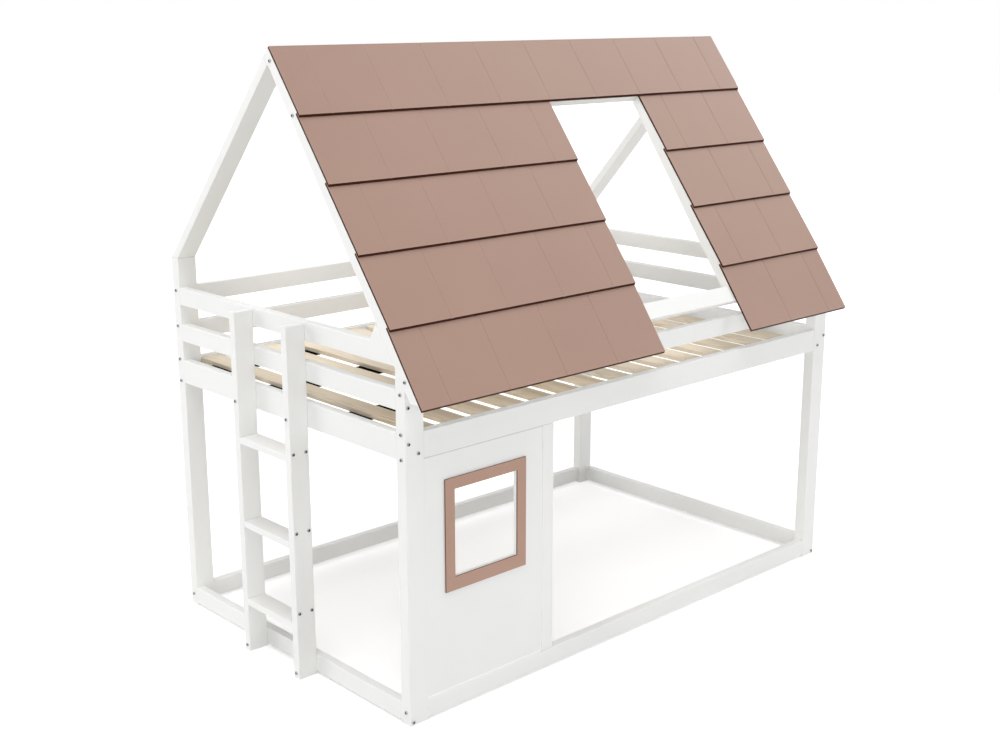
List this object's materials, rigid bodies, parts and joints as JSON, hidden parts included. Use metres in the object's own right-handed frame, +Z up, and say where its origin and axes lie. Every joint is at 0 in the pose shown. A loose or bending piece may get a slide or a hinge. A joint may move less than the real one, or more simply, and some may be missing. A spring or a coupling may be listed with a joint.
{
  "type": "house bunk bed",
  "caption": "Children's bed frame shaped like a house, with a slatted upper bunk, open space below, a boarded roof slope with a skylight, a window panel and a ladder on one end.",
  "frame": {"origin": "On the floor, under the middle of the bounding box of bed, ladder and roof.", "axes": "+X runs along the bed from the ladder end to the other end, +Y from the front with the roof slope and window panel to the back, +Z up."},
  "size_m": [2.1422, 1.3476, 1.9998],
  "materials": {
    "white_paint": "white satin paint on softwood",
    "roof_paint": "dusty rose-brown satin paint outside, white inside, dark brown edges",
    "trim_paint": "dusty rose-brown satin paint",
    "pine": "planed bare pine"
  },
  "bodies": {
    "root": {"bed_rail_back": "white_paint", "bed_rail_front": "white_paint", "bed_rail_left": "white_paint", "bed_rail_right": "white_paint", "floor_rail_back": "white_paint", "floor_rail_front": "white_paint", "floor_rail_left": "white_paint", "floor_rail_right": "white_paint", "guard_rail_front": "white_paint", "guard_rail_lower_back": "white_paint", "guard_rail_lower_left": "white_paint", "guard_rail_lower_right": "white_paint", "guard_rail_upper_back": "white_paint", "guard_rail_upper_left": "white_paint", "guard_rail_upper_right": "white_paint", "ladder_rung_1": "white_paint", "ladder_rung_2": "white_paint", "ladder_rung_3": "white_paint", "ladder_stringer_back": "white_paint", "ladder_stringer_front": "white_paint", "panel_stile": "white_paint", "post_back_left": "white_paint", "post_back_right": "white_paint", "post_front_left": "white_paint", "post_front_right": "white_paint", "purlin_lower": "white_paint", "purlin_upper": "white_paint", "rafter_back_left": "white_paint", "rafter_back_right": "white_paint", "rafter_front_left": "white_paint", "rafter_front_right": "white_paint", "rafter_opening_left": "white_paint", "rafter_opening_right": "white_paint", "ridge_beam": "white_paint", "roof_board_1": "roof_paint", "roof_board_2_left": "roof_paint", "roof_board_2_right": "roof_paint", "roof_board_3_left": "roof_paint", "roof_board_3_right": "roof_paint", "roof_board_4_left": "roof_paint", "roof_board_4_right": "roof_paint", "roof_board_5_left": "roof_paint", "roof_board_5_right": "roof_paint", "slat_01": "pine", "slat_02": "pine", "slat_03": "pine", "slat_04": "pine", "slat_05": "pine", "slat_06": "pine", "slat_07": "pine", "slat_08": "pine", "slat_09": "pine", "slat_10": "pine", "slat_11": "pine", "slat_12": "pine", "slat_13": "pine", "slat_14": "pine", "slat_15": "pine", "window_panel": "white_paint", "window_trim": "trim_paint"}
  },
  "joints": []
}
